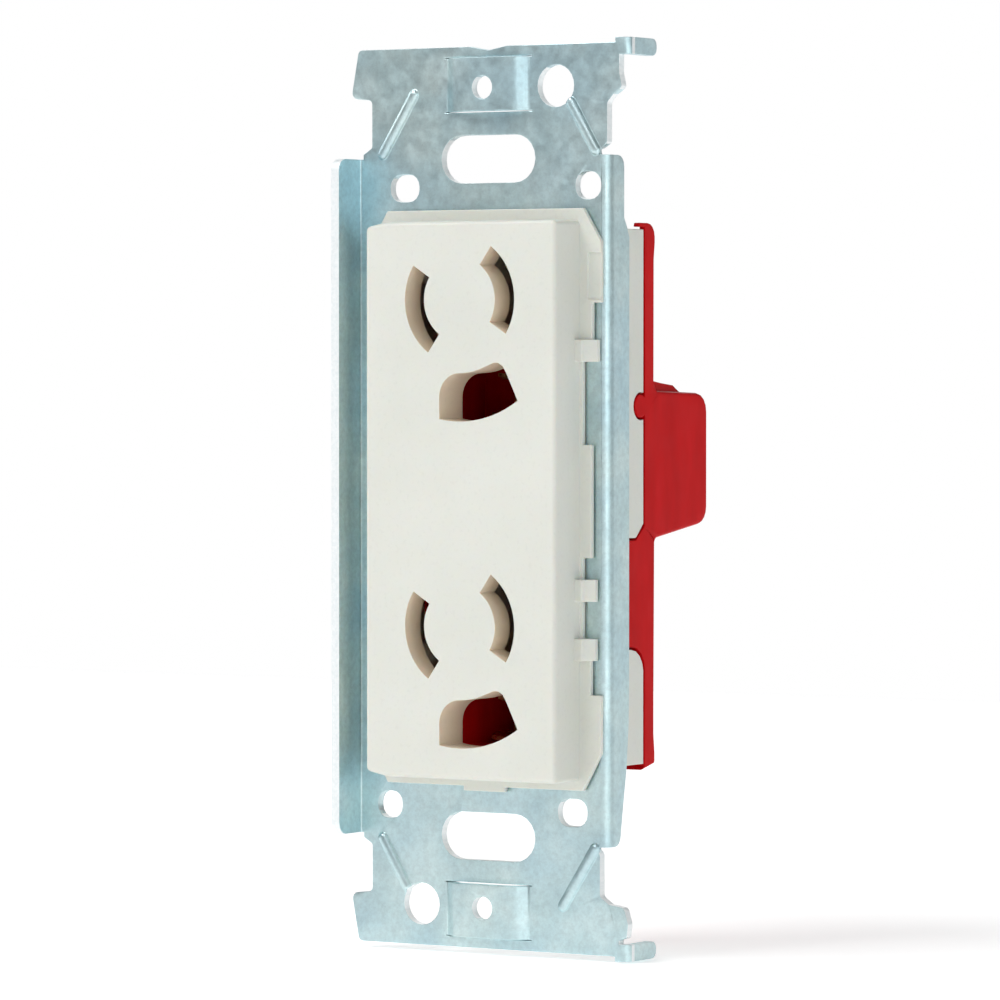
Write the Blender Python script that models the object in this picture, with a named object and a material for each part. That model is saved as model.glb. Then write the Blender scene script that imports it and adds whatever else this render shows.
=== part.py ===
"""Grounded duplex wall outlet of the twist-to-retain kind: steel yoke, moulded body and base, contacts,
buses, push-in terminals and assembly screws.

+X is right, the faces look towards -Y, +Z is up. The origin is midway between the two box-screw slots, on
the back face of the yoke. Every size below is in millimetres and becomes metres in one place, solid().
"""

import math

import bmesh
import bpy

MM = 0.001
ROUND_STEPS = 10

# Yoke
PLATE = 1.2
YOKE_FRONT = -PLATE
YOKE_HALF_HEIGHT = 55.6
BOX_SLOT_Z = 41.75
BOX_SLOT = (13.6, 5.9)
COVER_SCREW_Z = 50.5
COVER_SCREW_HOLE = 1.45
WINDOW = (14.05, 34.8)
WINDOW_CORNER = 0.6
RAIL_HALF_HEIGHT = 42.4
BEND_INNER = 0.25
RIGHT_FLANGE_X = 17.33
LEFT_FLANGE_X = 20.0
BRIDGE_RISE = 1.45
BRIDGE_Z = (47.6, 54.2)
LANCE_HALF_WIDTH = 6.3
LANCE_GAP = 0.1
CORNER_TAB_Z = (54.1, 56.2)
SMALL_HOLES = ((-12.2, 4.2), (14.4, 3.6))
SMALL_HOLE_Z = 38.3
SMALL_HOLE_HEIGHT = 3.4
SMALL_HOLE_CORNER = 1.5
LARGE_HOLE = (9.75, 50.5)
LARGE_HOLE_RADIUS = 2.6
RIB_FOOT = (15.5, 42.5)
RIB_HEAD = (10.8, 49.9)
SHORT_RIB_HEAD = (11.9, 48.5)
RIB_RADIUS = 0.7
RIB_GROOVE = 0.55
THROUGH_SHEET = (-3, 2)

# Body
BODY_HALF_WIDTH = 13.75
BODY_HEIGHT = (-34.35, 34.0)
FACE_Y = -7.85
FACE_THICKNESS = 3.5
FACE_SLOPE = (3.0, 0.6)
EDGE_ROUNDING = 0.55
END_WALL = 1.2
SIDE_LUGS = ((16.8, 19.5, 16.3), (-12.4, -9.7, 16.0), (-19.6, -16.9, 16.0))
PANEL = ((14.9, 17.5), (24.4, 30.1))
PANEL_DEPTH = 0.25
SNAP_X = 8.5
SNAP_HALF_WIDTH = 2.2
POST_RADIUS = 2.15
PILOT_RADIUS = 1.35
PILOT_END = 0.8
BARRIER_HALF = 0.8
BARRIER_HALF_HEIGHT = 6.4
BARRIER_BACK = 9.2
OVERLAP = 0.3
WALL = 1.3
STEP_Y = 4.0
REAR_TOP = 33.2
REAR_BOTTOM = -33.1
BODY_BACK = 13.1
RIM_FRONT = -2.15
RIM_BACK = -1.45
RECEPTACLE_Z = {"upper": 24.4, "lower": -15.6}
SLOT_RADII = (5.15, 7.9)
SLOT_ANGLES = (-32.0, 55.0)
TWIST = 23.0
GROUND_RADIUS = 11.9
GROUND_HALF = 2.9
GROUND_BOTTOM = 14.6

# Base
BASE_FRONT = 13.4
BASE_BACK = 15.6
BLOCK_BACK = 29.0
BLOCK_BACK_WALL = 27.2
WELL_FRONT = -2.1
WELL_LEFT = {"upper": -8.9, "lower": -4.6}
WELL_RIGHT = 9.2
WELL_Z = (-15.7, -6.8)
WELL_WALL = 0.8
WELL_END = 10.95
HOOK_WIDTH = 0.8
BLOCK_ROUNDING = 0.5
HUMP_SETBACK = 1.3
STRIP_GAUGE = (11.0, 1.8)
STRIP_GAUGE_Z = -14.0
MARKING_PANEL = (14.0, 7.0)
MARKING_PANEL_Z = 23.0
EJECTOR_MARK = 1.5
EJECTOR_X = 9.6
EJECTOR_Z = (21.0, -27.0)
POLE_GROOVE = (0.7, 10.0)
LEG_Y = 4.0
LEG_Z = (-18.5, -5.3)
LEG_THICKNESS = 1.6
NUB = (12.45, 11.3)
NUB_RADIUS = 1.45

# Assembly screws
SCREW_X = 10.3
SCREW_Z = (28.7, -19.9)
SCREW_SEAT = 14.45
SCREW_HOLE = 1.55
SCREW_RECESS = 2.75
SCREW_HEAD = (2.35, 1.1)
SCREW_SHANK = (1.05, 11.5)
CROSS_SLOT = (1.5, 0.3, 0.6)

# Contacts: the leaves' radii about the receptacle's centre, their angles, and their front and back
BLADE_JAW = ((5.55, 7.55), (-29, 52), (-2.5, 6.0))
PIN_JAW = ((9.45, 14.35), (-101, -60), (4.0, 9.6))
JAW_SHEET = 0.5
JAW_FLARE = 0.35

# Terminals, with every x measured from the pole's centre line
POLE_PITCH = 8.6
POLES = {"line": -POLE_PITCH, "ground": 0.0, "neutral": POLE_PITCH}
TERMINAL_Z = 4.55
WIRE_OFFSET_Z = 4.8
WIRE_X = -1.3
WIRE_HOLE = 1.45
WIRE_FUNNEL = 2.25
CHAMBER_X = (-3.4, 3.6)
CHAMBER_Z = (-2.8, 11.9)
MOUTH_Z = (-3.0, 7.8)
TERMINAL_PLATE_X = (-3.1, -2.3)
TERMINAL_PLATE_Y = (16.4, 23.7)
SPRING_X = 2.1
SPRING_Y = 24.4
SPRING_RADIUS = 1.3
PIVOT_RADIUS = 0.6
SPRING_SHEET = 0.35
SPRING_WIDTH = 6.6
SPRING_REACH = (4.1, 6.2)
RELEASE_X = (-1.9, -0.1)
RELEASE_HALF_Z = 1.7
RELEASE_TIP_Y = SPRING_Y - 1.06
GAP = 0.3

BUS_X = (9.7, 11.7)
BUS_Y = (6.3, 7.1)
GROUND_BUS_Y = (9.9, 10.7)
GROUND_WAY_X = (-3.4, 3.5)
GROUND_WAY_Z = (-31.2, 16.3)
RISER_Z = (-2.4, 7.4)
TERMINAL_PLATE_Z = (-2.4, 11.5)


# Outlines


def arc(centre, radius, start, end, steps=ROUND_STEPS):
    """Points on a circle from one angle in degrees to another, both ends included."""
    points = []
    for i in range(steps + 1):
        angle = math.radians(start + (end - start) * i / steps)
        points.append((centre[0] + radius * math.cos(angle), centre[1] + radius * math.sin(angle)))
    return points


def circle(centre, radius, steps=24):
    return arc(centre, radius, 0, 360, steps)[:-1]


def rectangle(u0, u1, v0, v1):
    return [(u0, v0), (u1, v0), (u1, v1), (u0, v1)]


def slot_outline(centre, length, width):
    """A stadium lying along the first axis."""
    reach = (length - width) / 2
    right = arc((centre[0] + reach, centre[1]), width / 2, -90, 90)
    left = arc((centre[0] - reach, centre[1]), width / 2, 90, 270)
    return right + left


def filleted(corners, steps=4):
    """The outline through (u, v, radius) corners, each rounded to its radius."""
    points = []
    for i, (u, v, radius) in enumerate(corners):
        if not radius:
            points.append((u, v))
            continue
        before = corners[i - 1]
        after = corners[(i + 1) % len(corners)]
        to_before = unit(before[0] - u, before[1] - v)
        to_after = unit(after[0] - u, after[1] - v)
        half = math.acos(max(-1.0, min(1.0, dot(to_before, to_after)))) / 2
        middle = unit(to_before[0] + to_after[0], to_before[1] + to_after[1])
        reach = radius / math.sin(half)
        centre = (u + middle[0] * reach, v + middle[1] * reach)
        tangent = radius / math.tan(half)
        first = (u + to_before[0] * tangent, v + to_before[1] * tangent)
        last = (u + to_after[0] * tangent, v + to_after[1] * tangent)
        start = math.atan2(first[1] - centre[1], first[0] - centre[0])
        sweep = math.atan2(last[1] - centre[1], last[0] - centre[0]) - start
        sweep = (sweep + math.pi) % (2 * math.pi) - math.pi
        points += arc(centre, radius, math.degrees(start), math.degrees(start + sweep), steps)
    return points


def rounded_rectangle(centre, width, height, radius):
    u, v = centre
    half_w = width / 2
    half_h = height / 2
    corners = rectangle(u - half_w, u + half_w, v - half_h, v + half_h)
    return filleted([(a, b, radius) for a, b in corners])


def ring_sector(centre, radii, angles, steps=ROUND_STEPS):
    outer = arc(centre, radii[1], angles[0], angles[1], steps)
    inner = arc(centre, radii[0], angles[1], angles[0], steps)
    return outer + inner


def strip_outline(path, thickness):
    """A band of even thickness along an open path."""
    left = []
    right = []
    for i, (u, v) in enumerate(path):
        ahead = path[min(i + 1, len(path) - 1)]
        behind = path[max(i - 1, 0)]
        along = unit(ahead[0] - behind[0], ahead[1] - behind[1])
        across = (-along[1] * thickness / 2, along[0] * thickness / 2)
        left.append((u + across[0], v + across[1]))
        right.append((u - across[0], v - across[1]))
    return left + right[::-1]


def unit(u, v):
    length = math.hypot(u, v)
    return (u / length, v / length)


def dot(a, b):
    return a[0] * b[0] + a[1] * b[1]


def turned(point, degrees):
    """A point turned about the outline's origin."""
    angle = math.radians(degrees)
    u, v = point
    return (u * math.cos(angle) - v * math.sin(angle), u * math.sin(angle) + v * math.cos(angle))


def moved(points, du, dv):
    return [(u + du, v + dv) for u, v in points]


def mirrored(points, side):
    return [(u * side, v) for u, v in points]


# Solids


def place(axis, u, v, w):
    """Point of an outline (u, v) at height w: axis y takes (x, z), axis x (y, z) and axis z (x, y)."""
    if axis == "y":
        return (u, w, v)
    if axis == "x":
        return (w, u, v)
    return (u, v, w)


def solid(name, rings):
    """A closed mesh through rings of points, in metres, capped at both ends."""
    mesh = bpy.data.meshes.new(name)
    shape = bmesh.new()
    levels = [[shape.verts.new([c * MM for c in point]) for point in ring] for ring in rings]
    shape.faces.new(levels[0][::-1])
    shape.faces.new(levels[-1])
    for low, high in zip(levels, levels[1:]):
        for i in range(len(low)):
            j = (i + 1) % len(low)
            shape.faces.new((low[i], low[j], high[j], high[i]))
    bmesh.ops.recalc_face_normals(shape, faces=shape.faces)
    shape.to_mesh(mesh)
    shape.free()
    made = bpy.data.objects.new(name, mesh)
    bpy.context.scene.collection.objects.link(made)
    return made


def prism(name, outline, low, high, axis="y"):
    return solid(name, [[place(axis, u, v, w) for u, v in outline] for w in (low, high)])


def tapered(name, low_outline, high_outline, low, high, axis="y"):
    rings = []
    for outline, w in ((low_outline, low), (high_outline, high)):
        rings.append([place(axis, u, v, w) for u, v in outline])
    return solid(name, rings)


def block(name, x, y, z):
    return prism(name, rectangle(x[0], x[1], z[0], z[1]), y[0], y[1])


def rounded_edges(made, width, segments=2, angle=50):
    """Rounds the sharp edges of a simple solid."""
    bevel = made.modifiers.new("rounded edges", "BEVEL")
    bevel.width = width * MM
    bevel.segments = segments
    bevel.limit_method = "ANGLE"
    bevel.angle_limit = math.radians(angle)
    return made


def combine(target, operation, tool):
    """Adds the tool to the target, or cuts it away, and keeps the tool as a wire guide."""
    step = target.modifiers.new(tool.name, "BOOLEAN")
    step.operation = operation
    step.solver = "EXACT"
    step.object = tool
    tool.hide_render = True
    tool.display_type = "WIRE"
    tool.parent = target
    tool.matrix_parent_inverse = target.matrix_world.inverted()


def add(target, *tools):
    for tool in tools:
        combine(target, "UNION", tool)


def cut(target, *tools):
    for tool in tools:
        combine(target, "DIFFERENCE", tool)


def put(made, x, y, z):
    made.location = (x * MM, y * MM, z * MM)


def finish(made, material):
    made.data.materials.clear()
    made.data.materials.append(material)
    made.data.shade_smooth()
    made.data.set_sharp_from_angle(angle=math.radians(35))


def material(name, colour, roughness, metallic):
    made = bpy.data.materials.new(name)
    made.use_nodes = True
    shader = made.node_tree.nodes["Principled BSDF"]
    shader.inputs["Base Color"].default_value = (*colour, 1)
    shader.inputs["Roughness"].default_value = roughness
    shader.inputs["Metallic"].default_value = metallic
    return made


# Yoke


def yoke_outline():
    """The flat blank seen from the front, clockwise from the notch in the top edge."""
    top = YOKE_HALF_HEIGHT
    neck = 17.1
    lower_neck = 16.1
    relief = RAIL_HALF_HEIGHT + 0.2
    bend = 18.8
    upper_right = [
        (bend, top, 0),
        (bend, 51.8, 0.3),
        (19.2, 50.1, 0.6),
        (18.0, 49.3, 0.3),
        (neck, 48.3, 0.6),
        (neck, 43.4, 0.4),
        (15.8, relief, 0),
    ]
    lower_right = [
        (15.8, relief, 0),
        (lower_neck, 43.4, 0),
        (lower_neck, 48.4, 0.6),
        (17.4, 49.3, 0.6),
        (19.5, 49.6, 0.7),
        (20.1, 51.6, 0.6),
        (19.9, 53.2, 0.3),
        (bend, 53.6, 0),
        (bend, top, 0),
    ]
    left = [
        (-18.4, relief, 0),
        (-neck, 43.4, 0.4),
        (-neck, 49.3, 0.6),
        (-20.2, 49.6, 0.8),
        (-19.1, top, 0.6),
    ]
    corners = [(0, top - 0.5, 0), (2.75, top, 0), *upper_right]
    corners += [(u, -v, r) for u, v, r in lower_right]
    corners += [(u, -v, r) for u, v, r in reversed(left)]
    corners += left
    corners.append((-2.75, top, 0))
    return filleted(corners)


def bent_flange(name, side, outer_x, way, stations):
    """A side flange: the sheet runs outwards to its bend and then towards the front or the back.

    way is +1 for a flange towards +Y and -1 towards -Y. Each station is (z, reach), where reach is how far
    the flange's end stands from the far face of the sheet.
    """
    outer = PLATE + BEND_INNER
    bend_x = outer_x - outer
    near = 0.0 if way > 0 else YOKE_FRONT
    far = YOKE_FRONT if way > 0 else 0.0
    centre_y = near + way * BEND_INNER
    rings = []
    for z, reach in stations:
        end = far + way * reach
        ring = [(bend_x - 1.2, far), (bend_x, far)]
        for i in range(1, 6):
            angle = math.radians(90 * i / 6)
            ring.append((bend_x + outer * math.sin(angle), centre_y - way * outer * math.cos(angle)))
        ring += [(outer_x, centre_y), (outer_x, end), (outer_x - PLATE, end), (outer_x - PLATE, centre_y)]
        for angle in (math.radians(60), math.radians(30)):
            inside = (BEND_INNER * math.sin(angle), way * BEND_INNER * math.cos(angle))
            ring.append((bend_x + inside[0], centre_y - inside[1]))
        ring += [(bend_x, near), (bend_x - 1.2, near)]
        rings.append([(x * side, y, z) for x, y in ring])
    return solid(name, rings)


def rounded_corner(end, reach, radius, steps=4):
    """Stations at one end of a flange whose free corner is rounded, from the end inwards."""
    inwards = -math.copysign(1, end)
    stations = []
    for i in range(steps + 1):
        angle = math.radians(90 * i / steps)
        z = end + inwards * radius * (1 - math.cos(angle))
        stations.append((z, reach - radius * (1 - math.sin(angle))))
    return stations


def right_stations():
    """The right flange is deepest along the body, tapers slowly below it and steps back above it."""
    lower = rounded_corner(-RAIL_HALF_HEIGHT, 2.95, 1.35)
    upper = rounded_corner(RAIL_HALF_HEIGHT - 0.4, 3.7, 1.4)
    middle = [(-38.2, 3.4), (-33.0, 4.3), (-27.5, 4.8), (-23.0, 4.9), (32.0, 4.9), (33.2, 4.4), (34.4, 3.7)]
    return lower + middle + upper[::-1]


def left_stations():
    end = RAIL_HALF_HEIGHT - 0.4
    return rounded_corner(-end, 6.1, 1.5) + rounded_corner(end, 6.1, 1.5)[::-1]


def corner_tab(name, sign):
    """The small tongue at a right corner of the yoke, bent backwards."""
    outer = 20.25
    inner = outer - PLATE
    z = sorted(sign * end for end in CORNER_TAB_Z)
    flat = [(18.2, 0, 0), (18.2, YOKE_FRONT, 0)]
    bend = [(outer, YOKE_FRONT, 1.3), (outer, 1.0, 0), (inner, 1.0, 0), (inner, 0, 0.2)]
    tab = prism(name, filleted(flat + bend), z[0], z[1], axis="z")
    tongue = [(0.2, z[0], 0), (5.3, z[0], 0.9), (5.3, z[1], 0.9), (0.2, z[1], 0)]
    add(tab, prism(f"{name} tongue", filleted(tongue), inner, outer, axis="x"))
    return tab


def bridge(name, sign):
    """A strap lanced out of the sheet and raised forwards."""
    front = YOKE_FRONT - BRIDGE_RISE
    underside = front + PLATE
    outer = [(-5.9, YOKE_FRONT, 0.6), (-4.0, front, 3.0), (4.0, front, 3.0), (5.9, YOKE_FRONT, 0.6)]
    inner = [(5.5, 0, 0.5), (3.6, underside, 1.8), (-3.6, underside, 1.8), (-5.5, 0, 0.5)]
    ends = [(7.0, YOKE_FRONT, 0), (7.0, 0, 0)]
    corners = [(-7.0, YOKE_FRONT, 0), *outer, *ends, *inner, (-7.0, 0, 0)]
    z = sorted(sign * end for end in BRIDGE_Z)
    return prism(name, filleted(corners), z[0], z[1], axis="z")


def rib(name, start, end, front, radius):
    """A half-round bar with round ends lying on the plane y = front, from one point (x, z) to the other."""
    along = unit(end[0] - start[0], end[1] - start[1])
    first = [(start, -0.6, 0.3), (start, -0.35, 0.75), (start, 0, 1)]
    last = [(end, 0, 1), (end, 0.35, 0.75), (end, 0.6, 0.3)]
    rings = []
    for point, beyond, scale in first + last:
        at = (point[0] + along[0] * beyond, point[1] + along[1] * beyond)
        ring = []
        for u, v in circle((0, 0), radius * scale, 12):
            ring.append((at[0] - along[1] * u, front + v * 0.7, at[1] + along[0] * u))
        rings.append(ring)
    return solid(name, rings)


def add_ribs(yoke, sign, row):
    """Two pressed ribs run from the rails' ends to the ears, the one beside the large hole stopping short."""
    for side in (-1, 1):
        foot = (side * RIB_FOOT[0], sign * RIB_FOOT[1])
        reach = SHORT_RIB_HEAD if side == sign else RIB_HEAD
        head = (side * reach[0], sign * reach[1])
        add(yoke, rib(f"{row} rib {side}", foot, head, YOKE_FRONT, RIB_RADIUS))
        cut(yoke, rib(f"{row} rib groove {side}", foot, head, 0, RIB_GROOVE))


def make_yoke(finish_material):
    yoke = prism("yoke", yoke_outline(), YOKE_FRONT, 0)
    add(yoke, bent_flange("right flange", 1, RIGHT_FLANGE_X, 1, right_stations()))
    add(yoke, bent_flange("left flange", -1, LEFT_FLANGE_X, -1, left_stations()))
    through = THROUGH_SHEET
    for sign, row in ((1, "upper"), (-1, "lower")):
        add(yoke, corner_tab(f"{row} corner tab", sign))
        lance = sorted((sign * (BRIDGE_Z[0] - LANCE_GAP), sign * (BRIDGE_Z[1] + LANCE_GAP)))
        cut(yoke, block(f"{row} lance", (-LANCE_HALF_WIDTH, LANCE_HALF_WIDTH), through, lance))
        add(yoke, bridge(f"{row} bridge", sign))
        screw_hole = circle((0, sign * COVER_SCREW_Z), COVER_SCREW_HOLE)
        cut(yoke, prism(f"{row} cover screw hole", screw_hole, YOKE_FRONT - BRIDGE_RISE - 1, 3))
        cut(yoke, prism(f"{row} box slot", slot_outline((0, sign * BOX_SLOT_Z), *BOX_SLOT), *through))
        for x, width in SMALL_HOLES:
            centre = (sign * x, sign * SMALL_HOLE_Z)
            hole = rounded_rectangle(centre, width, SMALL_HOLE_HEIGHT, SMALL_HOLE_CORNER)
            cut(yoke, prism(f"{row} small hole {x:.0f}", hole, *through))
        add_ribs(yoke, sign, row)
        large = circle((sign * LARGE_HOLE[0], sign * LARGE_HOLE[1]), LARGE_HOLE_RADIUS)
        cut(yoke, prism(f"{row} large hole", large, *through))
    window = rounded_rectangle((0, 0), 2 * WINDOW[0], 2 * WINDOW[1], WINDOW_CORNER)
    cut(yoke, prism("window", window, *through))
    finish(yoke, finish_material)


# Front cover


def rim_outline():
    """The body's rim: full width at the clips and chamfered corners, cut back at the rail on the right."""
    wide = 16.75
    corner = 14.2
    side = BODY_HALF_WIDTH + 0.4
    end = 35.5
    clips = [(16.3, 19.5, 16.8), (15.4, 6.7, -7.1), (16.0, -9.7, -12.4), (16.0, -16.9, -19.6)]
    points = [(corner, end), (wide, 31.4), (wide, 24.0), (15.5, 24.0), (15.5, clips[0][1])]
    for reach, high, low in clips:
        points += [(side, high), (reach, high), (reach, low), (side, low)]
    points.remove((side, clips[0][1]))
    points[-1] = (15.3, clips[-1][2])
    points += [(15.3, -23.8), (wide, -23.8), (wide, -30.9), (corner, -end)]
    points += [(3.0, -end), (3.0, -36.1), (-3.0, -36.1), (-3.0, -end)]
    return points + [(-corner, -end), (-wide, -30.9), (-wide, 31.4), (-corner, end)]


def ground_hole_outline():
    """The pin's own shape swept through the twist, about the receptacle's centre."""
    corner = math.degrees(math.atan2(GROUND_HALF, GROUND_BOTTOM))
    outer = math.hypot(GROUND_HALF, GROUND_BOTTOM)
    points = arc((0, 0), outer, -90 + TWIST + corner, -90 - corner, 12)
    points += arc((0, -GROUND_RADIUS), GROUND_HALF, 180, 90, 8)
    points += arc((0, 0), GROUND_RADIUS - GROUND_HALF, -85, -90 + TWIST, 5)
    far_end = [(1.5, -9.05), (2.1, -9.3), (2.55, -9.9), (2.7, -10.8)]
    return points + [turned(point, TWIST) for point in far_end]


def side_lug(name, z_low, z_high, reach):
    """A moulded clip on the right of the body: a raised nose that slopes down to the rim."""
    root = BODY_HALF_WIDTH - 1.0
    nose = [(root, -3.35), (14.7, -3.35), (14.9, -2.9)]
    outline = [(root, RIM_BACK), *nose, (reach, RIM_FRONT), (reach, RIM_BACK)]
    return prism(name, outline, z_low, z_high, axis="z")


def body_outline():
    """Front view of the body, whose two left corners slope off."""
    half_w = BODY_HALF_WIDTH
    low, high = BODY_HEIGHT
    slope_x = -half_w + FACE_SLOPE[0]
    right = [(slope_x, low), (half_w, low), (half_w, high), (slope_x, high)]
    return right + [(-half_w, high - FACE_SLOPE[1]), (-half_w, low + FACE_SLOPE[1])]


def make_front_cover(finish_material):
    half_w = BODY_HALF_WIDTH
    cover = rounded_edges(prism("front_cover", body_outline(), FACE_Y, STEP_Y), EDGE_ROUNDING, 3)
    add(cover, block("rear body", (-half_w, half_w), (0.5, BODY_BACK), (REAR_BOTTOM, REAR_TOP)))
    add(cover, prism("rim", rim_outline(), RIM_FRONT, RIM_BACK))
    for index, (low, high, reach) in enumerate(SIDE_LUGS):
        add(cover, side_lug(f"side lug {index}", low, high, reach))
    add_snaps(cover)
    inner_x = half_w - WALL
    face_back = FACE_Y + FACE_THICKNESS
    inner_z = (REAR_BOTTOM + END_WALL, REAR_TOP - END_WALL)
    cut(cover, block("front cavity", (-inner_x, inner_x), (face_back, BODY_BACK + 1), inner_z))
    panel_y = (RIM_FRONT - 0.5, RIM_FRONT + PANEL_DEPTH)
    cut(cover, block("recessed panel", PANEL[0], panel_y, PANEL[1]))
    for index, z in enumerate(SCREW_Z):
        for side in (-1, 1):
            post = circle((side * SCREW_X, z), POST_RADIUS, 16)
            pilot = circle((side * SCREW_X, z), PILOT_RADIUS, 16)
            add(cover, prism(f"post {index} {side}", post, face_back - OVERLAP, BODY_BACK))
            cut(cover, prism(f"pilot {index} {side}", pilot, PILOT_END, BODY_BACK + 1))
    for name, z in RECEPTACLE_Z.items():
        cut_receptacle(cover, name, z, face_back)
    for side in (-1, 1):
        ends = sorted((side * (inner_x - 0.5), side * (half_w + 1)))
        cut(cover, prism(f"leg notch {side}", leg_outline(GAP), *ends, axis="x"))
        cut(cover, prism(f"nub notch {side}", circle(NUB, NUB_RADIUS + GAP, 20), *ends, axis="x"))
    finish(cover, finish_material)


def add_snaps(cover):
    """Wedges above and below that snap in behind the yoke."""
    for sign in (-1, 1):
        for x in (-SNAP_X, SNAP_X):
            outline = [(0.35, 33.0), (0.35, 35.7), (1.1, 35.7), (3.4, 34.1), (3.4, 33.0)]
            wedge = [(y, sign * z) for y, z in outline]
            ends = (x - SNAP_HALF_WIDTH, x + SNAP_HALF_WIDTH)
            add(cover, prism(f"snap {sign} {x:.0f}", wedge, *ends, axis="x"))


def cut_receptacle(cover, name, z, face_back):
    """Boss, barrier, blade slots and ground hole of one receptacle."""
    boss = rectangle(WELL_LEFT[name] + 0.2, WELL_RIGHT + 0.4, z + WELL_Z[0], z + WELL_Z[1] - 0.1)
    add(cover, prism(f"{name} ground boss", boss, face_back - OVERLAP, WELL_FRONT - 0.35))
    barrier_y = (face_back - OVERLAP, BARRIER_BACK)
    barrier_z = (z - BARRIER_HALF_HEIGHT, z + BARRIER_HALF_HEIGHT)
    add(cover, block(f"{name} barrier", (-BARRIER_HALF, BARRIER_HALF), barrier_y, barrier_z))
    for side, turn in (("right", 0), ("left", 180)):
        angles = (SLOT_ANGLES[0] + turn, SLOT_ANGLES[1] + turn)
        slot = ring_sector((0, z), SLOT_RADII, angles, 14)
        cut(cover, prism(f"{name} {side} slot", slot, FACE_Y - 1, face_back + 0.5))
    hole = moved(ground_hole_outline(), 0, z)
    cut(cover, prism(f"{name} ground hole", hole, FACE_Y - 1, WELL_FRONT + 0.1))


def leg_outline(gap=0.0):
    """Side view (y, z) of a base leg with its curved roots, grown by a gap for the notch that it fills."""
    front = LEG_Y - gap
    low = LEG_Z[0] - gap
    high = LEG_Z[1] + gap
    root = BASE_FRONT + 0.05 - gap
    inside = BASE_FRONT + 0.8
    upper = [(front, high, 0.8), (11.3, high, 0.5), (root, high + 1.8, 0), (inside, high + 1.8, 0)]
    lower = [(inside, low - 3.5, 0), (root, low - 3.5, 0), (root, low, 3.0), (front, low, 0.8)]
    return filleted(upper + lower)


# Rear base


def base_plate_outline():
    """Side view (y, z) of the closing plate, with the hooks at its top and the slanted bottom edge."""
    thick = BASE_BACK + 0.25
    hook_low = REAR_TOP + GAP
    hook = [(11.9, hook_low, 0), (12.1, 34.0, 0.15), (thick, 34.0, 1.7)]
    back = [(thick, 31.6, 0), (BASE_BACK, 29.5, 0), (BASE_BACK, -29.5, 0), (thick, -31.8, 0)]
    foot = [(thick, -33.1, 0.3), (12.6, -33.85, 0), (BASE_FRONT, -33.45, 0)]
    return filleted([*hook, *back, *foot, (BASE_FRONT, hook_low, 0)])


def terminal_block_outline():
    """Side view (y, z) of the block that stands out at the back."""
    inside = BASE_BACK - 1.0
    upper = [(inside, 14.7, 0), (BASE_BACK, 14.6, 0), (16.6, 13.2, 0.8)]
    upper += [(26.0, 12.9, 0), (BLOCK_BACK, 12.8, 2.4)]
    lower = [(BLOCK_BACK, -3.4, 2.2), (16.3, -5.2, 0.9), (BASE_BACK, -6.9, 0), (inside, -7.1, 0)]
    return filleted(upper + lower)


def block_hump():
    """Side view (y, z) of the low hump that runs across the top of the block, at its root."""
    top = [(15.0, 14.9), (17.0, 14.5), (19.5, 14.15), (22.5, 13.85), (24.0, 13.0)]
    return [(15.0, 12.2), *top, (24.0, 12.2)]


def make_rear_base(finish_material):
    half_w = BODY_HALF_WIDTH
    base = prism("rear_base", base_plate_outline(), -half_w, half_w, axis="x")
    inside_hooks = half_w - HOOK_WIDTH
    cut(base, block("between hooks", (-inside_hooks, inside_hooks), (10, 17), (REAR_TOP, 35)))
    terminal_block = prism("terminal block", terminal_block_outline(), -half_w, half_w, axis="x")
    add(base, rounded_edges(terminal_block, BLOCK_ROUNDING))
    hump_end = half_w - HUMP_SETBACK
    add(base, prism("block hump", block_hump(), -hump_end, hump_end, axis="x"))
    for pole, x in POLES.items():
        cut_terminal(base, pole, x)
    for side in (-1, 1):
        ends = sorted((side * (half_w - LEG_THICKNESS), side * half_w))
        add(base, prism(f"leg {side}", leg_outline(), *ends, axis="x"))
        add(base, prism(f"nub {side}", circle(NUB, NUB_RADIUS, 20), *ends, axis="x"))
    for name, z in RECEPTACLE_Z.items():
        add_ground_well(base, name, z)
    outside = BASE_BACK + 1.4
    for index, z in enumerate(SCREW_Z):
        for side in (-1, 1):
            x = side * SCREW_X
            hole = circle((x, z), SCREW_HOLE, 16)
            recess = circle((x, z), SCREW_RECESS, 20)
            cut(base, prism(f"screw hole {index} {side}", hole, 10, outside))
            cut(base, prism(f"screw recess {index} {side}", recess, SCREW_SEAT - 0.1, outside))
    add_back_details(base)
    way = (GROUND_BUS_Y[0] - GAP, GROUND_BUS_Y[1] + 0.25)
    cut(base, block("ground strip way", GROUND_WAY_X, way, GROUND_WAY_Z))
    finish(base, finish_material)


def add_back_details(base):
    """Strip gauge, marking panel and ejector marks in the plate, and grooves between the poles' holes."""
    outside = BASE_BACK + 1
    gauge = slot_outline((0, STRIP_GAUGE_Z), *STRIP_GAUGE)
    cut(base, prism("strip gauge", gauge, BASE_BACK - 0.6, outside))
    panel = rounded_rectangle((0, MARKING_PANEL_Z), *MARKING_PANEL, 0.8)
    cut(base, prism("marking panel", panel, BASE_BACK - 0.2, outside))
    for x in (-EJECTOR_X, EJECTOR_X):
        for z in EJECTOR_Z:
            mark = circle((x, z), EJECTOR_MARK, 20)
            cut(base, prism(f"ejector mark {x} {z}", mark, BASE_BACK - 0.15, outside))
    for x in (WIRE_X - POLE_PITCH / 2, WIRE_X + POLE_PITCH / 2):
        groove = rounded_rectangle((x, TERMINAL_Z), *POLE_GROOVE, 0.3)
        cut(base, prism(f"pole groove {x}", groove, BLOCK_BACK - 0.5, BLOCK_BACK + 1))


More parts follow.
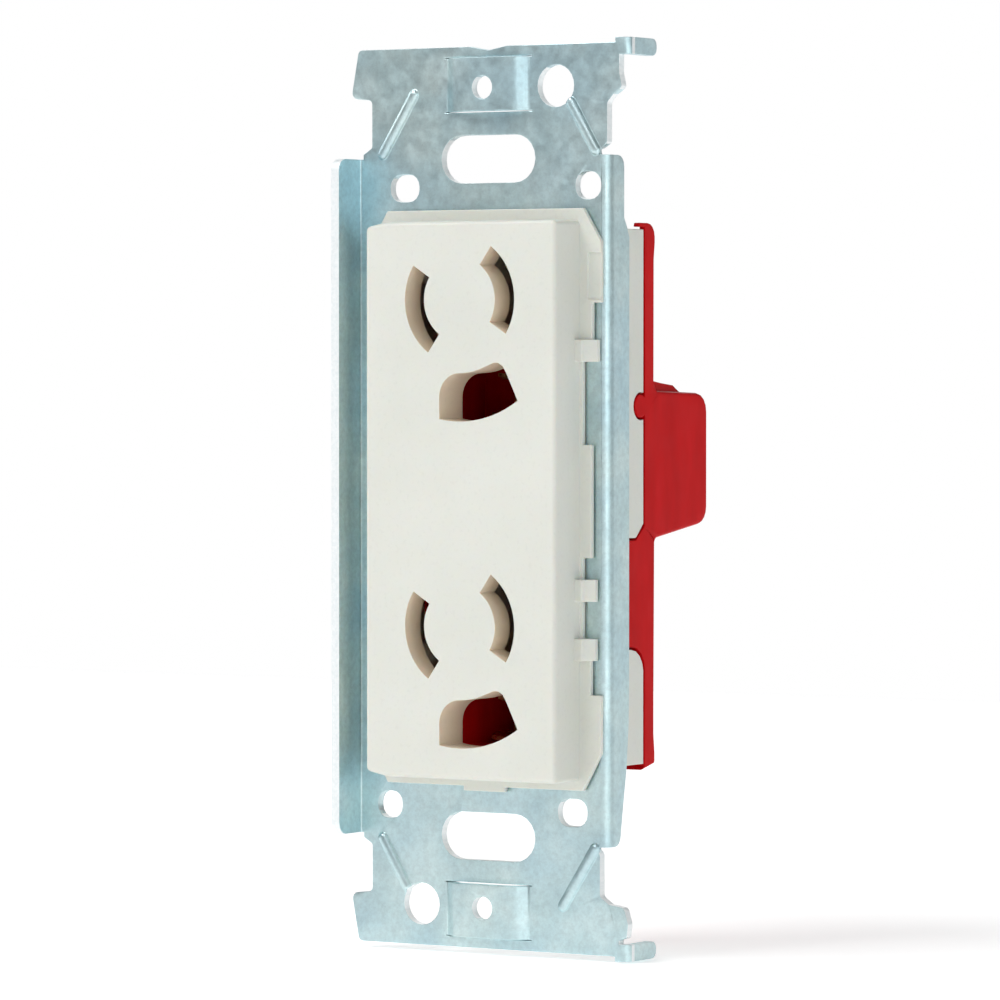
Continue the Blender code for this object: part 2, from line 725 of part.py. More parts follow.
def cut_terminal(base, pole, x):
    """The chamber of one pole, its two wire holes and the way of its release plunger."""
    chamber = (x + CHAMBER_X[0], x + CHAMBER_X[1])
    through = (BLOCK_BACK_WALL - 1, BLOCK_BACK + 1)
    cut(base, block(f"{pole} mouth", chamber, (11, 20), MOUTH_Z))
    cut(base, block(f"{pole} chamber", chamber, (BASE_BACK + 0.3, BLOCK_BACK_WALL), CHAMBER_Z))
    pivot = circle((x + SPRING_X, SPRING_Y), PIVOT_RADIUS, 12)
    add(base, prism(f"{pole} spring pivot", pivot, -3.4, 12.4, axis="z"))
    for wire in (-1, 1):
        at = (x + WIRE_X, TERMINAL_Z + wire * WIRE_OFFSET_Z)
        hole = circle(at, WIRE_HOLE, 16)
        cut(base, prism(f"{pole} wire hole {wire}", hole, *through))
        mouth = (BLOCK_BACK - 0.9, BLOCK_BACK + 0.2)
        cut(base, tapered(f"{pole} wire funnel {wire}", hole, circle(at, WIRE_FUNNEL, 16), *mouth))
    ends = (x + RELEASE_X[0] - GAP, x + RELEASE_X[1] + GAP)
    heights = (TERMINAL_Z - RELEASE_HALF_Z - GAP, TERMINAL_Z + RELEASE_HALF_Z + GAP)
    cut(base, block(f"{pole} release way", ends, through, heights))


def add_ground_well(base, name, z):
    """A tube round the ground contact, closed by a floor behind the ground strip, the upper one wider."""
    left = WELL_LEFT[name]
    low = z + WELL_Z[0]
    high = z + WELL_Z[1]
    outer = rectangle(left, WELL_RIGHT, low, high)
    inner = rectangle(left + WELL_WALL, WELL_RIGHT - WELL_WALL, low + 0.75, high - 0.7)
    tube = prism(f"{name} ground well", outer, WELL_FRONT, BASE_FRONT + OVERLAP)
    cut(tube, prism(f"{name} well bore", inner, WELL_FRONT - 1, WELL_END))
    add(base, tube)


# Electrical pieces


def jaw_mesh(name, radii, angles, depths):
    """A channel bent to an arc about the receptacle's centre: two leaves on a floor, open to the front.

    The leaves' free edges flare outwards to guide what is pushed in.
    """
    inner, outer = radii
    front, back = depths
    sheet = JAW_SHEET
    flare = JAW_FLARE
    profile = [
        (inner, back),
        (inner, front + 1.2),
        (inner - flare, front),
        (inner - flare + sheet, front),
        (inner + sheet, front + 1.3),
        (inner + sheet, back - sheet),
        (outer - sheet, back - sheet),
        (outer - sheet, front + 1.3),
        (outer + flare - sheet, front),
        (outer + flare, front),
        (outer, front + 1.2),
        (outer, back),
    ]
    rings = []
    steps = 10
    for i in range(steps + 1):
        angle = math.radians(angles[0] + (angles[1] - angles[0]) * i / steps)
        rings.append([(r * math.cos(angle), y, r * math.sin(angle)) for r, y in profile])
    return solid(name, rings)


def copy_of(made, name):
    twin = bpy.data.objects.new(name, made.data)
    bpy.context.scene.collection.objects.link(twin)
    return twin


def make_contacts(brass):
    """Blade jaws behind the four arc slots and pin jaws behind the two ground holes."""
    blade = None
    pin = None
    for name, z in RECEPTACLE_Z.items():
        for pole, turn in (("neutral", 0), ("line", 180)):
            node = f"{pole}_contact_{name}"
            if blade is None:
                blade = jaw_mesh(node, *BLADE_JAW)
                finish(blade, brass)
            jaw = blade if blade.name == node else copy_of(blade, node)
            put(jaw, 0, 0, z)
            jaw.rotation_euler = (0, math.radians(turn), 0)
        node = f"ground_contact_{name}"
        if pin is None:
            pin = jaw_mesh(node, *PIN_JAW)
            finish(pin, brass)
        jaw = pin if pin.name == node else copy_of(pin, node)
        put(jaw, 0, 0, z)


def blade_bus(pole, side, brass):
    """The strip along one side of the body, its tabs behind the jaws and its terminal plate."""
    low_z = RECEPTACLE_Z["lower"] - 1.6
    high_z = RECEPTACLE_Z["upper"] + 1.5
    strip = rectangle(BUS_X[0], BUS_X[1], low_z, high_z)
    bus = prism(f"{pole}_bus", mirrored(strip, side), *BUS_Y)
    for name, z in RECEPTACLE_Z.items():
        ends = (z - 1.6, z + 1.5)
        tab = rectangle(5.6, BUS_X[0] + 0.5, *ends)
        add(bus, prism(f"{pole} {name} tab", mirrored(tab, side), *BUS_Y))
    plate = [POLES[pole] + edge for edge in TERMINAL_PLATE_X]
    foot = (min(plate[0], side * BUS_X[1]), max(plate[1], side * BUS_X[1]))
    add(bus, block(f"{pole} foot", foot, BUS_Y, RISER_Z))
    add_terminal_plate(bus, pole, plate, BUS_Y[0])
    finish(bus, brass)


def add_terminal_plate(bus, pole, plate, front):
    add(bus, block(f"{pole} riser", plate, (front, TERMINAL_PLATE_Y[0] + 1.2), RISER_Z))
    add(bus, block(f"{pole} terminal plate", plate, TERMINAL_PLATE_Y, TERMINAL_PLATE_Z))


def ground_bus(brass):
    plate = TERMINAL_PLATE_X
    ends = (RECEPTACLE_Z["lower"] - 14.0, RECEPTACLE_Z["upper"] - 10.0)
    bus = block("ground_bus", (plate[0], 3.2), GROUND_BUS_Y, ends)
    add_terminal_plate(bus, "ground", plate, GROUND_BUS_Y[0])
    finish(bus, brass)


# Push-in terminals


def lock_spring(name, steel):
    """A leaf rolled round its pivot, whose free edge bites on the wire. The origin is on the pivot's axis."""
    middle = SPRING_RADIUS - SPRING_SHEET / 2
    reach = math.hypot(*SPRING_REACH)
    lean = math.atan2(SPRING_REACH[0], SPRING_REACH[1]) - math.asin(middle / reach)
    start = math.degrees(math.pi - lean)
    path = arc((0, 0), middle, start - 265, start, 14)
    length = math.sqrt(reach**2 - middle**2)
    foot = path[-1]
    path.append((foot[0] - length * math.sin(lean), foot[1] - length * math.cos(lean)))
    spring = prism(name, strip_outline(path, SPRING_SHEET), -SPRING_WIDTH / 2, SPRING_WIDTH / 2, axis="z")
    finish(spring, steel)
    return spring


def release_plunger(name, plastic):
    """The plunger between a pole's two wire holes. Its origin is on its own line of travel."""
    half = (RELEASE_X[1] - RELEASE_X[0]) / 2
    back = BLOCK_BACK - 0.35
    end = back - RELEASE_TIP_Y
    outline = [(-half, -1.0), (-half + 0.7, -1.9), (half, 0), (half, end), (-half, end)]
    plunger = prism(name, outline, -RELEASE_HALF_Z, RELEASE_HALF_Z, axis="z")
    stop = BLOCK_BACK_WALL - GAP - RELEASE_TIP_Y
    add(plunger, block(f"{name} collar", (-half + 0.1, half - 0.1), (stop - 1.2, stop), (-2.4, 2.4)))
    cut(plunger, block(f"{name} driver slot", (-0.4, 0.4), (end - 0.9, 10), (-1.1, 1.1)))
    finish(plunger, plastic)
    return plunger


def make_terminals(steel, plastic):
    for pole, x in POLES.items():
        for mark, sign in (("a", 1), ("b", -1)):
            spring = lock_spring(f"{pole}_lock_spring_{mark}", steel)
            put(spring, x + SPRING_X, SPRING_Y, TERMINAL_Z + sign * (SPRING_WIDTH / 2 + 0.25))
        plunger = release_plunger(f"{pole}_release", plastic)
        put(plunger, x + (RELEASE_X[0] + RELEASE_X[1]) / 2, RELEASE_TIP_Y, TERMINAL_Z)


# Fasteners


def assembly_screw(name, steel):
    """A recessed pan-head screw with a cross slot, whose origin is under its head."""
    radius, height = SCREW_HEAD
    shank, length = SCREW_SHANK
    half, width, depth = CROSS_SLOT
    screw = prism(name, circle((0, 0), radius, 24), 0, height)
    add(screw, prism("screw shank", circle((0, 0), shank, 16), -length, 0.3))
    recess = (height - depth, height + 1)
    cut(screw, block("screw slot", (-half, half), recess, (-width, width)))
    cut(screw, block("screw cross slot", (-width, width), recess, (-half, half)))
    finish(screw, steel)
    return screw


def make_screws(steel):
    first = assembly_screw("assembly_screw_1", steel)
    screws = [first] + [screw_copy(first, f"assembly_screw_{i}") for i in (2, 3, 4)]
    places = [(side * SCREW_X, z) for z in SCREW_Z for side in (-1, 1)]
    for screw, (x, z) in zip(screws, places):
        put(screw, x, SCREW_SEAT, z)


def screw_copy(first, name):
    """A twin of the first screw with the same cuts, made from its finished mesh."""
    bpy.context.view_layer.update()
    graph = bpy.context.evaluated_depsgraph_get()
    mesh = bpy.data.meshes.new_from_object(first.evaluated_get(graph))
    twin = bpy.data.objects.new(name, mesh)
    bpy.context.scene.collection.objects.link(twin)
    return twin


def main():
    for old in list(bpy.data.objects):
        bpy.data.objects.remove(old, do_unlink=True)
    zinc = material("zinc plated steel", (0.66, 0.74, 0.76), 0.38, 1.0)
    white = material("white moulding", (0.84, 0.85, 0.81), 0.42, 0.0)
    red = material("red moulding", (0.6, 0.012, 0.018), 0.4, 0.0)
    brass = material("brass", (0.72, 0.53, 0.25), 0.3, 1.0)
    spring_steel = material("spring steel", (0.6, 0.6, 0.6), 0.3, 1.0)
    screw_steel = material("plated screw", (0.62, 0.62, 0.6), 0.35, 1.0)
    release_plastic = material("release moulding", (0.85, 0.85, 0.82), 0.45, 0.0)
    make_yoke(zinc)
    make_front_cover(white)
    make_rear_base(red)
    make_contacts(brass)
    blade_bus("neutral", 1, brass)
    blade_bus("line", -1, brass)
    ground_bus(brass)
    make_terminals(spring_steel, release_plastic)
    make_screws(screw_steel)


main()
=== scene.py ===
"""Duplex wall outlet: finishes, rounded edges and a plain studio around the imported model.

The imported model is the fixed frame: a piece made here stands where its node stands, and rides on its body.
Sizes on the outlet are in millimetres and become metres through MM. The studio is in metres.
"""

import math

import bmesh
import bpy
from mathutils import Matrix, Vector


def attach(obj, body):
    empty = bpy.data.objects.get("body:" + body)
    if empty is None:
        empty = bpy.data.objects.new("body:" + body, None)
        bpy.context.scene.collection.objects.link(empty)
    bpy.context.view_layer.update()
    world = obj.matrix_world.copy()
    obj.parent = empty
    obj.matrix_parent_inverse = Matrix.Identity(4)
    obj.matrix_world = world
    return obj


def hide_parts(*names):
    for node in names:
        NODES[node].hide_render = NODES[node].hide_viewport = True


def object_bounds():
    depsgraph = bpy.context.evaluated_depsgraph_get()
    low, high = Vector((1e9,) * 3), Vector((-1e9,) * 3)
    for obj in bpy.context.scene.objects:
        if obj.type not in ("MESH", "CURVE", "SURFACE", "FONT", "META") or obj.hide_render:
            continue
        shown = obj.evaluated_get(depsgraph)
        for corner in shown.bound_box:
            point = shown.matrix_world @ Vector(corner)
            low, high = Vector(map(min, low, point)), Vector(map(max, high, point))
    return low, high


MM = 0.001

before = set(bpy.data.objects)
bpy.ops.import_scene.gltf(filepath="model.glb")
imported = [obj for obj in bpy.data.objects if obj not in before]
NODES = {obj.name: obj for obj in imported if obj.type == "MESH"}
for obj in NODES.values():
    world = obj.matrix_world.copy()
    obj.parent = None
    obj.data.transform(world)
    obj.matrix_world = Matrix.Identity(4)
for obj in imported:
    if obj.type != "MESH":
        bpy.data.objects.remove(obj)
cad_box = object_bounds()
POLES = ("line", "ground", "neutral")
SCREWS = (1, 2, 3, 4)

# Nearly all of a noise's values lie between these.
NOISE_LOW = 0.3
NOISE_HIGH = 0.7
# The direction in which a shift moves a noise, so that two layers don't have their lumps in the same places.
SHIFT_WAY = (1.0, 0.7, 1.3)
# Painted shade: makes the white moulding yellower on the walls inside its holes, for the warm shade that
# falls in them.
HOLE_WALL_PAINTED_SHADE = (1.12, 0.97, 0.84)

# Rounded edges. Points closer than WELD become one, and so do faces that meet at less than FLAT_TURN. An edge
# is rounded where it turns by more than ROUNDED_TURN, and shading breaks where it turns by more than
# SHADED_TURN.
WELD = 0.002
FLAT_TURN = 0.6
ROUNDED_TURN = 38
SHADED_TURN = 35
EDGE_WIDTH = 0.1
EDGE_SEGMENTS = 2
EDGE_PROFILE = 0.6

# Where the yoke's faces lie. The flanges stand outside FLANGE_X, up and down to FLANGE_END, and their tips
# are in front of FLANGE_FRONT or behind FLANGE_BACK. Cuts through the flat sheet lie between SHEET_FRONT and
# SHEET_BACK. A bridge lies within BRIDGE_X, past BRIDGE_START.
FLANGE_X = 15.6
FLANGE_END = 42.5
FLANGE_FRONT = -2.4
FLANGE_BACK = 1.3
SHEET_FRONT = -2.5
SHEET_BACK = 0.3
BRIDGE_X = 6.5
BRIDGE_START = 47.0

# The walls of the front cover's holes lie within HOLES_X and HOLES_Z, between HOLE_MOUTH and HOLE_END.
HOLES_X = 11.0
HOLES_Z = 33.0
HOLE_MOUTH = -7.8
HOLE_END = -2.5

# Parts of a face's unit normal: a flange's skin has at least SIDEWAYS along X, a face that looks up or down
# has more than UPRIGHT along Z, and a wall that runs from front to back has less than WALL along Y.
SIDEWAYS = 0.6
UPRIGHT = 0.8
WALL = 0.2

# The studio, in metres, degrees and, for the lens and its sensor, millimetres. The surround is as bright as
# ROOM_ABOVE over the horizon and ROOM_BELOW under it, and goes from one to the other within HORIZON of it.
FLOOR_HALF = 0.5
FLOOR_GAP = 0.0002
FLOOR_GLOW = 0.45
WHITE = (1, 1, 1, 1)
ROOM_COLOUR = (0.96, 0.99, 1.0, 1)
ROOM_ABOVE = 0.17
ROOM_BELOW = 0.6
HORIZON = 0.05
CAMERA_PLACE = (0.38301, -0.60797, 0.01723)
CAMERA_TILT = -1.393
CAMERA_TURN = 32.145
CAMERA_LENS = 209.8
CAMERA_SENSOR = 36.0
CAMERA_NEAR = 0.05
CAMERA_FAR = 20.0


# Materials


class Finish:
    """A Principled material whose detail is made from noises in object space, with sizes in millimetres."""

    def __init__(self, name, roughness, metallic=0.0, **constants):
        self.material = bpy.data.materials.new(name)
        self.material.use_nodes = True
        self.tree = self.material.node_tree
        self.shader = self.tree.nodes["Principled BSDF"]
        self.place = self.tree.nodes.new("ShaderNodeTexCoord").outputs["Object"]
        self.shader.inputs["Roughness"].default_value = roughness
        self.shader.inputs["Metallic"].default_value = metallic
        for socket, value in constants.items():
            self.shader.inputs[socket.replace("_", " ")].default_value = value

    def node(self, kind, socket, output):
        """A new node, with an output linked to one of its sockets."""
        made = self.tree.nodes.new(kind)
        self.tree.links.new(output, made.inputs[socket])
        return made

    def noise(self, size, detail=3.0, stretch=(1, 1, 1), shift=0.0, roughness=0.55):
        """Cloudy noise whose lumps are about size mm, made longer along an axis by its stretch."""
        mapping = self.node("ShaderNodeMapping", "Vector", self.place)
        mapping.inputs["Location"].default_value = [shift * way for way in SHIFT_WAY]
        mapping.inputs["Scale"].default_value = [1 / (MM * size * longer) for longer in stretch]
        made = self.node("ShaderNodeTexNoise", "Vector", mapping.outputs["Vector"])
        made.inputs["Scale"].default_value = 1.0
        made.inputs["Detail"].default_value = detail
        made.inputs["Roughness"].default_value = roughness
        return made.outputs["Fac"]

    def ramp(self, factor, *stops):
        """A colour, or a grey given as one number, for each place in the factor's range."""
        made = self.node("ShaderNodeValToRGB", "Fac", factor)
        elements = made.color_ramp.elements
        while len(elements) < len(stops):
            elements.new(0.5)
        for element, (place, colour) in zip(elements, stops):
            element.position = place
            element.color = (*colour, 1) if isinstance(colour, tuple) else (colour, colour, colour, 1)
        return made.outputs["Color"]

    def product(self, first, second):
        """One colour multiplied by another."""
        made = self.tree.nodes.new("ShaderNodeMix")
        made.data_type = "RGBA"
        made.blend_type = "MULTIPLY"
        factor, left, right = [socket for socket in made.inputs if socket.enabled]
        factor.default_value = 1.0
        self.tree.links.new(first, left)
        self.tree.links.new(second, right)
        return next(socket for socket in made.outputs if socket.enabled)

    def colour(self, output):
        """The colour of the surface."""
        self.tree.links.new(output, self.shader.inputs["Base Color"])

    def roughness(self, noise, low, high):
        """Roughness that goes from low to high with the noise."""
        made = self.node("ShaderNodeMapRange", "Value", noise)
        made.inputs["From Min"].default_value = NOISE_LOW
        made.inputs["From Max"].default_value = NOISE_HIGH
        made.inputs["To Min"].default_value = low
        made.inputs["To Max"].default_value = high
        self.tree.links.new(made.outputs["Result"], self.shader.inputs["Roughness"])

    def relief(self, *layers):
        """Bump from (noise, height in mm) layers, one on top of the other."""
        normal = None
        for noise, height in layers:
            bump = self.node("ShaderNodeBump", "Height", noise)
            bump.inputs["Distance"].default_value = height * MM
            bump.inputs["Strength"].default_value = 1.0
            if normal is not None:
                self.tree.links.new(normal, bump.inputs["Normal"])
            normal = bump.outputs["Normal"]
        self.tree.links.new(normal, self.shader.inputs["Normal"])


def zinc_sheet():
    """Blue-passivated zinc on rolled sheet: cloudy tints, spots, rolling lines and fine scratches."""
    made = Finish("zinc_sheet", roughness=0.36, metallic=1.0)
    dark, middle, pale = (0.52, 0.67, 0.70), (0.59, 0.74, 0.755), (0.67, 0.80, 0.80)
    clouds = made.ramp(made.noise(7.0, detail=5.0), (0.30, dark), (0.48, middle), (0.66, pale))
    plain, bluish = (1.0, 1.0, 1.0), (0.95, 0.99, 1.03)
    bloom = made.ramp(made.noise(14.0, detail=2.0, shift=3.0), (0.40, plain), (0.62, bluish))
    spots = made.ramp(made.noise(0.7, detail=4.0, shift=9.0, roughness=0.7), (0.33, 0.90), (0.62, 1.05))
    made.colour(made.product(made.product(clouds, bloom), spots))
    made.roughness(made.noise(1.6, detail=4.0, shift=2.0), 0.34, 0.48)
    rolling = made.noise(0.35, stretch=(1, 1, 34))
    scratches = made.noise(0.25, detail=2.0, stretch=(40, 1, 1), shift=5.0)
    grain = made.noise(0.8, shift=7.0)
    made.relief((rolling, 0.010), (scratches, 0.006), (grain, 0.012))
    return made.material


def sheared_zinc_and_painted_highlight():
    """The sheet's cut edges: rougher than its skin, with fine break lines across them, and paler, partly as
    bare cut steel and partly as a painted highlight.
    """
    made = Finish("zinc_sheared_and_painted_highlight", roughness=0.5, metallic=0.3)
    break_lines = made.noise(0.35, stretch=(1, 7, 1))
    # Partly painted highlight: the pale edge colours also stand in for the light caught along the edges.
    grey, pale = (0.86, 0.90, 0.91), (0.94, 0.96, 0.965)
    made.colour(made.ramp(break_lines, (0.35, grey), (0.65, pale)))
    made.roughness(made.noise(0.5, detail=2.0, shift=4.0), 0.42, 0.6)
    made.relief((break_lines, 0.006))
    return made.material


def white_plastic(name, tint=(1.0, 1.0, 1.0)):
    """Warm white moulding: spark-eroded skin, faint flow tint and small darker specks. A tint other than
    white is painted shade, as on the walls inside the holes.
    """
    made = Finish(name, roughness=0.42, IOR=1.5, Subsurface_Weight=0.25, Subsurface_Scale=1.2 * MM)
    made.shader.inputs["Subsurface Radius"].default_value = (1.0, 0.55, 0.3)
    dull, pale = [
        tuple(part * change for part, change in zip(colour, tint))
        for colour in ((0.725, 0.728, 0.668), (0.757, 0.757, 0.700))
    ]
    flow = made.ramp(made.noise(16.0), (0.35, dull), (0.65, pale))
    specks = made.ramp(made.noise(0.55, detail=2.0, shift=6.0), (0.28, 0.965), (0.45, 1.0))
    made.colour(made.product(flow, specks))
    made.roughness(made.noise(2.2, shift=1.0), 0.32, 0.44)
    skin = made.noise(0.16)
    waves = made.noise(5.0, detail=2.0, shift=8.0)
    made.relief((skin, 0.005), (waves, 0.03))
    return made.material


def red_plastic():
    """Red moulding, semi-gloss, with flow streaks and a fine eroded skin."""
    made = Finish("red_moulding", roughness=0.36, Specular_IOR_Level=0.06)
    deep, middle, bright = (0.52, 0.002, 0.004), (0.58, 0.003, 0.005), (0.62, 0.005, 0.008)
    streaks = made.noise(3.0, detail=2.0, stretch=(1, 1, 4))
    made.colour(made.ramp(streaks, (0.32, deep), (0.55, middle), (0.72, bright)))
    made.roughness(made.noise(4.0, detail=1.0, shift=2.0), 0.29, 0.40)
    skin = made.noise(0.18, detail=2.0)
    waves = made.noise(3.5, detail=2.0, shift=5.0)
    made.relief((skin, 0.003), (waves, 0.04))
    return made.material


def rolled_brass():
    """Contact brass: rolling lines, light tarnish."""
    made = Finish("contact_brass", roughness=0.28, metallic=1.0)
    tarnished, middle, bright = (0.50, 0.33, 0.13), (0.72, 0.51, 0.22), (0.82, 0.62, 0.31)
    tarnish = made.noise(2.2, detail=4.0)
    made.colour(made.ramp(tarnish, (0.30, tarnished), (0.52, middle), (0.70, bright)))
    made.roughness(made.noise(1.0, shift=3.0), 0.22, 0.42)
    rolling = made.noise(0.2, stretch=(1, 1, 22))
    made.relief((rolling, 0.008))
    return made.material


def spring_steel():
    """Bright spring strip, drawn along its length, with a trace of oil stain."""
    made = Finish("spring_steel", roughness=0.24, metallic=1.0)
    stained, bright = (0.42, 0.43, 0.45), (0.66, 0.67, 0.68)
    made.colour(made.ramp(made.noise(1.8), (0.30, stained), (0.60, bright)))
    made.roughness(made.noise(0.8, shift=2.0), 0.18, 0.34)
    drawn = made.noise(0.12, detail=2.0, stretch=(16, 16, 1))
    made.relief((drawn, 0.006))
    return made.material


def screw_steel():
    """Plated steel of the screws, with cloudy patches and a slightly uneven skin."""
    made = Finish("screw_steel", roughness=0.3, metallic=1.0)
    dull, bright = (0.45, 0.46, 0.46), (0.72, 0.73, 0.72)
    made.colour(made.ramp(made.noise(0.7, detail=4.0), (0.30, dull), (0.62, bright)))
    made.roughness(made.noise(0.4, shift=1.0), 0.2, 0.42)
    skin = made.noise(0.15, shift=5.0)
    made.relief((skin, 0.01))
    return made.material


def release_plastic():
    """Natural white of the release plungers, a little cloudy."""
    made = Finish("release_moulding", roughness=0.4, IOR=1.5)
    dull, pale = (0.74, 0.73, 0.66), (0.82, 0.81, 0.75)
    made.colour(made.ramp(made.noise(1.5), (0.35, dull), (0.65, pale)))
    made.roughness(made.noise(0.7, detail=2.0, shift=2.0), 0.32, 0.48)
    skin = made.noise(0.2)
    made.relief((skin, 0.008))
    return made.material


# Pieces with rounded edges


def clean_copy(node):
    """The node's mesh with its seams welded and its flat faces divided afresh into well-shaped triangles."""
    shape = bmesh.new()
    shape.from_mesh(NODES[node].data)
    bmesh.ops.remove_doubles(shape, verts=shape.verts, dist=WELD * MM)
    bmesh.ops.dissolve_limit(
        shape,
        angle_limit=math.radians(FLAT_TURN),
        use_dissolve_boundaries=False,
        verts=shape.verts,
        edges=shape.edges,
    )
    bmesh.ops.triangulate(shape, faces=shape.faces, quad_method="BEAUTY", ngon_method="BEAUTY")
    return shape


def sharp_edges(shape):
    """The edges to round."""
    limit = math.radians(ROUNDED_TURN)
    return [edge for edge in shape.edges if len(edge.link_faces) == 2 and edge.calc_face_angle(0) > limit]


def dressed(node, body, materials, second=None):
    """A copy of the node with rounded edges, standing for it. second picks the faces of a second finish."""
    shape = clean_copy(node)
    for face in shape.faces:
        face.smooth = True
        face.material_index = 1 if second and second(face) else 0
    bmesh.ops.bevel(
        shape,
        geom=sharp_edges(shape),
        offset=EDGE_WIDTH * MM,
        offset_type="OFFSET",
        segments=EDGE_SEGMENTS,
        profile=EDGE_PROFILE,
        affect="EDGES",
        clamp_overlap=False,
        material=-1,
        loop_slide=False,
    )
    mesh = bpy.data.meshes.new(f"{node}_finished")
    shape.to_mesh(mesh)
    shape.free()
    for material in materials:
        mesh.materials.append(material)
    mesh.set_sharp_from_angle(angle=math.radians(SHADED_TURN))
    piece = bpy.data.objects.new(f"{node}_finished", mesh)
    flatten = piece.modifiers.new("flat faces stay flat", "WEIGHTED_NORMAL")
    flatten.keep_sharp = True
    bpy.context.scene.collection.objects.link(piece)
    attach(piece, body)
    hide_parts(node)


def sheet_edge(face):
    """Whether a face of the yoke is a cut edge of the sheet, and not its skin or a bridge's edge. These faces
    get the paler finish, partly bare cut steel and partly painted highlight.
    """
    centre = face.calc_center_median() / MM
    normal = face.normal
    if abs(centre.x) > FLANGE_X and abs(centre.z) < FLANGE_END:
        at_tip = centre.y > FLANGE_BACK or centre.y < FLANGE_FRONT
        return at_tip and abs(normal.x) < SIDEWAYS
    on_bridge = abs(centre.x) < BRIDGE_X and abs(centre.z) > BRIDGE_START and abs(normal.z) > UPRIGHT
    cut = SHEET_FRONT < centre.y < SHEET_BACK and abs(normal.y) < WALL
    return cut and not on_bridge and normal.z > -UPRIGHT


def hole_wall(face):
    """Whether a face of the front cover is a wall of a slot or a ground hole, which gets painted shade."""
    centre = face.calc_center_median() / MM
    inside = abs(centre.x) < HOLES_X and abs(centre.z) < HOLES_Z
    return inside and HOLE_MOUTH < centre.y < HOLE_END and abs(face.normal.y) < WALL


def give(material, *names):
    """Put the material on CAD nodes that keep their own shape."""
    for name in names:
        mesh = NODES[name].data
        mesh.materials.clear()
        mesh.materials.append(material)


def dress():
    """Finish every node: the three large ones as copies with rounded edges, the others by material alone."""
    white = white_plastic("white_moulding")
    # Painted shade: the walls inside the cover's holes take a warmer white in place of the shade that falls
    # there.
    painted_shade_white = white_plastic("white_moulding_painted_shade_in_holes", HOLE_WALL_PAINTED_SHADE)
    red = red_plastic()
    # Painted highlight: the yoke's cut edges are paler, partly as bare cut steel and partly as a highlight
    # painted along them.
    dressed("yoke", "outlet", [zinc_sheet(), sheared_zinc_and_painted_highlight()], sheet_edge)
    dressed("front_cover", "outlet", [white, painted_shade_white], hole_wall)
    dressed("rear_base", "outlet", [red])
    brass = rolled_brass()
    steel = spring_steel()
    plunger = release_plastic()
    for pole in POLES:
        give(brass, f"{pole}_contact_upper", f"{pole}_contact_lower", f"{pole}_bus")
        give(steel, f"{pole}_lock_spring_a", f"{pole}_lock_spring_b")
        give(plunger, f"{pole}_release")
    give(screw_steel(), *[f"assembly_screw_{i}" for i in SCREWS])


# Studio


def studio_floor(low_z):
    """A wide pale floor just under the outlet, with a glow of its own that keeps it near white."""
    mesh = bpy.data.meshes.new("studio_floor")
    shape = bmesh.new()
    bmesh.ops.create_grid(shape, x_segments=2, y_segments=2, size=FLOOR_HALF)
    shape.to_mesh(mesh)
    shape.free()
    finish = Finish("studio_paper", roughness=0.9)
    finish.colour(finish.ramp(finish.noise(60.0, detail=2.0), (0.3, 0.90), (0.7, 0.92)))
    finish.shader.inputs["Emission Color"].default_value = WHITE
    finish.shader.inputs["Emission Strength"].default_value = FLOOR_GLOW
    mesh.materials.append(finish.material)
    made = bpy.data.objects.new("studio_floor", mesh)
    made.location = (0, 0, low_z - FLOOR_GAP)
    bpy.context.scene.collection.objects.link(made)


def softbox(name, place, size, watts, colour=(1, 1, 1)):
    """A rectangular light of the given width and height, turned towards the origin."""
    data = bpy.data.lights.new(name, "AREA")
    data.shape = "RECTANGLE"
    data.size, data.size_y = size
    data.energy = watts
    data.color = colour
    made = bpy.data.objects.new(name, data)
    made.location = place
    made.rotation_euler = (-Vector(place)).to_track_quat("-Z", "Y").to_euler()
    bpy.context.scene.collection.objects.link(made)


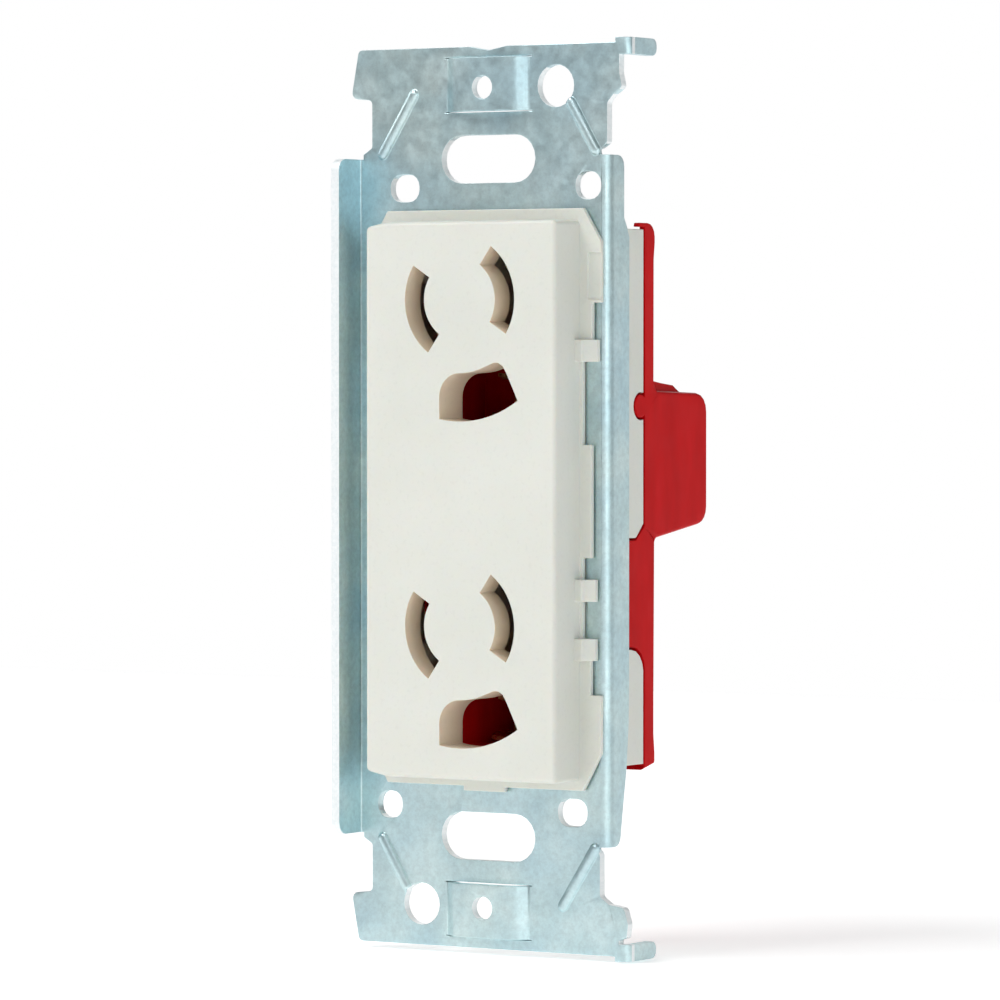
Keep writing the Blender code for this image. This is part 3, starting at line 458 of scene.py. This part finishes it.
def studio_world():
    """A surround that shows as white, and lights the scene like a dim room above a wide pale floor."""
    world = bpy.data.worlds.new("studio_world")
    world.use_nodes = True
    tree = world.node_tree
    tree.nodes.clear()
    way = tree.nodes.new("ShaderNodeTexCoord")
    height = tree.nodes.new("ShaderNodeSeparateXYZ")
    strength = tree.nodes.new("ShaderNodeMapRange")
    strength.inputs["From Min"].default_value = -HORIZON
    strength.inputs["From Max"].default_value = HORIZON
    strength.inputs["To Min"].default_value = ROOM_BELOW
    strength.inputs["To Max"].default_value = ROOM_ABOVE
    tree.links.new(way.outputs["Generated"], height.inputs["Vector"])
    tree.links.new(height.outputs["Z"], strength.inputs["Value"])
    rays = tree.nodes.new("ShaderNodeLightPath")
    room = tree.nodes.new("ShaderNodeBackground")
    room.inputs["Color"].default_value = ROOM_COLOUR
    tree.links.new(strength.outputs["Result"], room.inputs["Strength"])
    seen = tree.nodes.new("ShaderNodeBackground")
    seen.inputs["Color"].default_value = WHITE
    mixer = tree.nodes.new("ShaderNodeMixShader")
    out = tree.nodes.new("ShaderNodeOutputWorld")
    tree.links.new(rays.outputs["Is Camera Ray"], mixer.inputs["Fac"])
    tree.links.new(room.outputs["Background"], mixer.inputs[1])
    tree.links.new(seen.outputs["Background"], mixer.inputs[2])
    tree.links.new(mixer.outputs["Shader"], out.inputs["Surface"])
    bpy.context.scene.world = world


def studio_camera():
    """A long lens at the photograph's viewing angle."""
    data = bpy.data.cameras.new("camera")
    data.lens = CAMERA_LENS
    data.sensor_width = CAMERA_SENSOR
    data.clip_start = CAMERA_NEAR
    data.clip_end = CAMERA_FAR
    made = bpy.data.objects.new("camera", data)
    made.location = CAMERA_PLACE
    made.rotation_euler = (math.radians(90 + CAMERA_TILT), 0, math.radians(CAMERA_TURN))
    bpy.context.scene.collection.objects.link(made)
    bpy.context.scene.camera = made


def light():
    """A strong light from the upper left, weaker ones all round for the bent metal, and the surround."""
    softbox("key", place=(-0.50, -0.70, 1.0), size=(0.8, 0.6), watts=9.55)
    softbox("front high", place=(0.15, -1.1, 0.7), size=(0.5, 0.4), watts=1.5)
    softbox("right strip", place=(1.02, -0.50, 0.25), size=(0.7, 0.8), watts=1.9, colour=(0.86, 0.98, 1.0))
    softbox("front right", place=(0.74, -0.74, 0.06), size=(0.35, 0.5), watts=0.9)
    softbox("left high", place=(-1.0, -0.12, 0.42), size=(0.5, 0.25), watts=1.3)
    softbox("right rear", place=(0.64, 1.02, 0.1), size=(0.5, 0.8), watts=0.65)
    softbox("rear high", place=(0.75, 0.8, 0.8), size=(0.5, 0.5), watts=1.0, colour=(1.0, 0.98, 0.95))
    softbox("back", place=(-0.5, 0.95, 0.7), size=(0.8, 0.8), watts=2.5)
    studio_world()


dress()
light()
studio_floor(cad_box[0][2])
studio_camera()
bpy.context.scene.view_settings.view_transform = "Standard"
